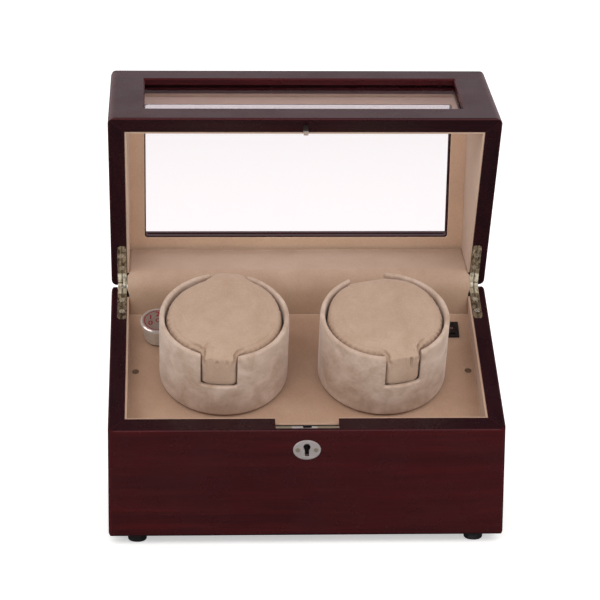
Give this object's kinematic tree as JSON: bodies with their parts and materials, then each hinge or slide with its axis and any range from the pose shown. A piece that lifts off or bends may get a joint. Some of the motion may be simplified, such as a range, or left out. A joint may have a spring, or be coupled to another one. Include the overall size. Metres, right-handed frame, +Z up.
{
  "type": "watch winder box",
  "caption": "Sloped-front wooden watch winder box with glazed hinged lid, lined sloping deck, turning padded cups, mode knob, rocker switch and box lock.",
  "frame": {"origin": "on the ground, under the middle of the bounding box of the box standing open", "axes": "+X to the viewer's right, +Y towards the back and the hinges, +Z up"},
  "size_m": [0.27, 0.1995, 0.2978],
  "materials": {
    "lacquered_wood": "gloss lacquer",
    "plain_wood": "bare",
    "lining_suede": "matte suede",
    "cup_suede": "matte suede",
    "cushion_suede": "matte suede",
    "pane": "clear",
    "nickel": "satin",
    "old_brass": "antique",
    "steel": "satin",
    "foot_rubber": "matte",
    "motor_shell": "matte",
    "board": "satin",
    "white_plastic": "matte",
    "black_plastic": "gloss",
    "satin_metal": "satin"
  },
  "bodies": {
    "base": {"base_front_panel": "lacquered_wood", "base_back_panel": "lacquered_wood", "base_left_panel": "lacquered_wood", "base_right_panel": "lacquered_wood", "bottom_panel": "plain_wood", "bottom_screws": "steel", "feet": "foot_rubber", "base_front_lining": "lining_suede", "base_back_lining": "lining_suede", "base_left_lining": "lining_suede", "base_right_lining": "lining_suede", "deck_board": "plain_wood", "deck_lining": "lining_suede", "deck_screws": "steel", "deck_batten_left": "plain_wood", "deck_batten_right": "plain_wood", "lock_case": "nickel", "lock_plate": "nickel", "escutcheon": "nickel", "escutcheon_pins": "nickel", "hinge_base_leaf_left": "old_brass", "hinge_base_leaf_right": "old_brass", "hinge_pins": "old_brass", "hinge_base_screws": "old_brass", "gearmotor_left": "motor_shell", "gearmotor_right": "motor_shell", "motor_screws": "steel", "control_board": "board", "board_spacers": "white_plastic", "dc_socket": "black_plastic", "rotary_switch": "black_plastic", "rocker_housing": "black_plastic"},
    "lid": {"lid_front_panel": "lacquered_wood", "lid_back_panel": "lacquered_wood", "lid_left_panel": "lacquered_wood", "lid_right_panel": "lacquered_wood", "lid_top_panel": "lacquered_wood", "front_glass": "pane", "top_glass": "pane", "front_glass_bead": "lacquered_wood", "top_glass_bead": "lacquered_wood", "lid_top_lining": "lining_suede", "lid_front_lining": "lining_suede", "lid_back_lining": "lining_suede", "lid_left_lining": "lining_suede", "lid_right_lining": "lining_suede", "lid_hook": "old_brass", "hinge_lid_leaf_left": "old_brass", "hinge_lid_leaf_right": "old_brass", "hinge_lid_screws": "old_brass"},
    "rotor_left": {"rotor_hub_left": "steel", "cup_left": "cup_suede"},
    "rotor_right": {"rotor_hub_right": "steel", "cup_right": "cup_suede"},
    "pad_left": {"cushion_left": "cushion_suede"},
    "pad_right": {"cushion_right": "cushion_suede"},
    "knob": {"mode_knob": "satin_metal"},
    "rocker": {"rocker": "black_plastic"},
    "bolt": {"lock_bolt": "nickel"}
  },
  "joints": [
    {"name": "lid_hinge", "type": "hinge", "parent": "base", "child": "lid", "pos_m": [0, 0.0476, 0.1462], "axis": [-1, 0, 0], "range_deg": [-82.7, 0]},
    {"name": "rotor_left_spin", "type": "hinge", "parent": "base", "child": "rotor_left", "pos_m": [-0.0555, -0.02927, 0.11712], "axis": [0, -0.4602, 0.8878], "continuous": true},
    {"name": "rotor_right_spin", "type": "hinge", "parent": "base", "child": "rotor_right", "pos_m": [0.0555, -0.02927, 0.11712], "axis": [0, -0.4602, 0.8878], "continuous": true},
    {"name": "pad_left_lift", "type": "slide", "parent": "rotor_left", "child": "pad_left", "axis": [0, -0.4602, 0.8878], "range_m": [0, 0.06]},
    {"name": "pad_right_lift", "type": "slide", "parent": "rotor_right", "child": "pad_right", "axis": [0, -0.4602, 0.8878], "range_m": [0, 0.06]},
    {"name": "knob_turn", "type": "hinge", "parent": "base", "child": "knob", "pos_m": [-0.101, 0.00928, 0.12358], "axis": [0, 0.4602, -0.8878], "range_deg": [0, 270]},
    {"name": "rocker_tilt", "type": "hinge", "parent": "base", "child": "rocker", "pos_m": [0.1034, 0.01928, 0.11863], "axis": [0, 0.8878, 0.4602], "range_deg": [-16, 0]},
    {"name": "bolt_slide", "type": "slide", "parent": "base", "child": "bolt", "axis": [-1, 0, 0], "range_m": [0, 0.0055]}
  ]
}
